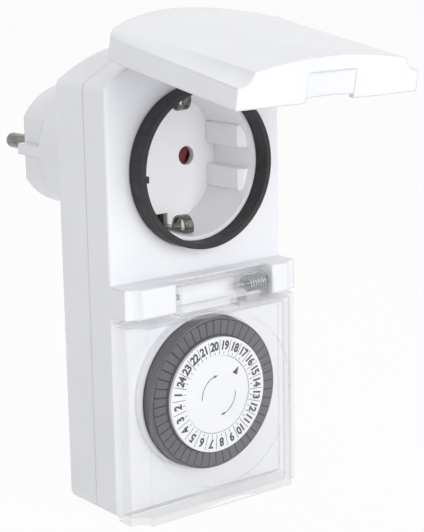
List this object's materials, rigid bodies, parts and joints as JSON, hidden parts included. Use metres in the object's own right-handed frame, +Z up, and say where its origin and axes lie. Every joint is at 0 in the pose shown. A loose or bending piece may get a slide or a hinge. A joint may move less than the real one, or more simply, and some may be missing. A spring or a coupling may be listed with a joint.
{
  "type": "plug in timer switch",
  "caption": "Plug in mechanical timer switch: earthed socket under a hinged lid, above a rotating day dial with push in tabs under a clear sprung cover; plug body and pins on the back.",
  "frame": {"origin": "centre of the two plug pins in the plane of the plug's end face", "axes": "+Y along the plug pins, into the wall outlet; the socket and the dial face -Y; +Z up, from the dial to the socket; +X to the right for someone who looks at the dial"},
  "size_m": [0.0602, 0.1406, 0.1402],
  "materials": {
    "casing_plastic": "satin white moulded plastic",
    "clear_plastic": "clear, polished",
    "seal_rubber": "matt black rubber",
    "plated_metal": "nickel plated, satin",
    "steel": "zinc plated steel",
    "brass": "pressed brass",
    "shutter_plastic": "dark red moulded plastic",
    "dial_grey": "grey moulded plastic",
    "scale_white": "white with a printed scale",
    "inner_plastic": "natural moulded plastic",
    "copper": "varnished copper winding"
  },
  "bodies": {
    "casing": {"rear_casing": "casing_plastic", "front_casing": "casing_plastic", "case_screws": "steel", "plug_pin_left": "plated_metal", "plug_pin_right": "plated_metal", "receptacle_left": "brass", "receptacle_right": "brass", "plug_earth_contact_top": "plated_metal", "plug_earth_contact_bottom": "plated_metal", "earth_clip_top": "plated_metal", "earth_clip_bottom": "plated_metal", "earth_strap": "brass", "contact_carrier": "inner_plastic", "neutral_bar": "brass", "live_bar": "brass", "switched_lead_tab": "brass", "socket_insert": "casing_plastic", "seal_ring": "seal_rubber", "lid_hinge_pin": "steel", "cover_pin_left": "steel", "cover_pin_right": "steel", "cover_spring": "steel", "centre_disc": "scale_white", "dial_post": "steel", "motor_can": "steel", "motor_coil": "copper", "gear_plate": "inner_plastic", "lever_pin": "steel", "moving_contact": "brass", "fixed_contact": "brass"},
    "lid": {"socket_lid": "casing_plastic"},
    "cover": {"dial_cover": "clear_plastic"},
    "dial": {"dial_ring": "dial_grey", "switching_tabs": "dial_grey", "scale_ring": "scale_white", "dial_gear": "inner_plastic"},
    "time_on_tab": {"tab_time_on": "dial_grey"},
    "time_off_tab": {"tab_time_off": "dial_grey"},
    "left_spare_tab": {"tab_spare_left": "dial_grey"},
    "right_spare_tab": {"tab_spare_right": "dial_grey"},
    "reducer": {"reduction_gear": "inner_plastic"},
    "rotor": {"motor_rotor": "inner_plastic"},
    "shutter_slide": {"shutter": "shutter_plastic"},
    "lever": {"switch_lever": "inner_plastic"}
  },
  "joints": [
    {"name": "lid_hinge", "type": "hinge", "parent": "casing", "child": "lid", "pos_m": [0, -0.06155, 0.0288], "axis": [1, 0, 0], "range_deg": [0, 80.3]},
    {"name": "cover_hinge", "type": "hinge", "parent": "casing", "child": "cover", "pos_m": [0, -0.0707, -0.0346], "axis": [-1, 0, 0], "range_deg": [0, 90], "stiffness_Nm_per_rad": 0.003, "springref_deg": -57.3},
    {"name": "dial_turn", "type": "hinge", "parent": "casing", "child": "dial", "pos_m": [0, 0, -0.0646], "axis": [0, 1, 0], "continuous": true},
    {"name": "tab_on_push", "type": "slide", "parent": "dial", "child": "time_on_tab", "axis": [0, 1, 0], "range_m": [0, 0.0016]},
    {"name": "tab_off_push", "type": "slide", "parent": "dial", "child": "time_off_tab", "axis": [0, 1, 0], "range_m": [0, 0.0016]},
    {"name": "tab_left_push", "type": "slide", "parent": "dial", "child": "left_spare_tab", "axis": [0, 1, 0], "range_m": [0, 0.0016]},
    {"name": "tab_right_push", "type": "slide", "parent": "dial", "child": "right_spare_tab", "axis": [0, 1, 0], "range_m": [0, 0.0016]},
    {"name": "reducer_turn", "type": "hinge", "parent": "casing", "child": "reducer", "pos_m": [-0.01, 0, -0.08192], "axis": [0, 1, 0], "continuous": true},
    {"name": "rotor_turn", "type": "hinge", "parent": "casing", "child": "rotor", "pos_m": [0.002, 0, -0.08192], "axis": [0, 1, 0], "continuous": true},
    {"name": "shutter_push", "type": "slide", "parent": "casing", "child": "shutter_slide", "axis": [1, 0, 0], "range_m": [0, 0.0062], "stiffness_N_per_m": 60, "springref_m": -0.005},
    {"name": "lever_turn", "type": "hinge", "parent": "casing", "child": "lever", "pos_m": [0, -0.059, -0.0388], "axis": [1, 0, 0], "range_deg": [0, 6], "stiffness_Nm_per_rad": 0.002, "springref_deg": -17.19}
  ],
  "couplings": [
    {"joint": "reducer_turn", "follows": "dial_turn", "ratio": -9},
    {"joint": "rotor_turn", "follows": "dial_turn", "ratio": 45}
  ]
}
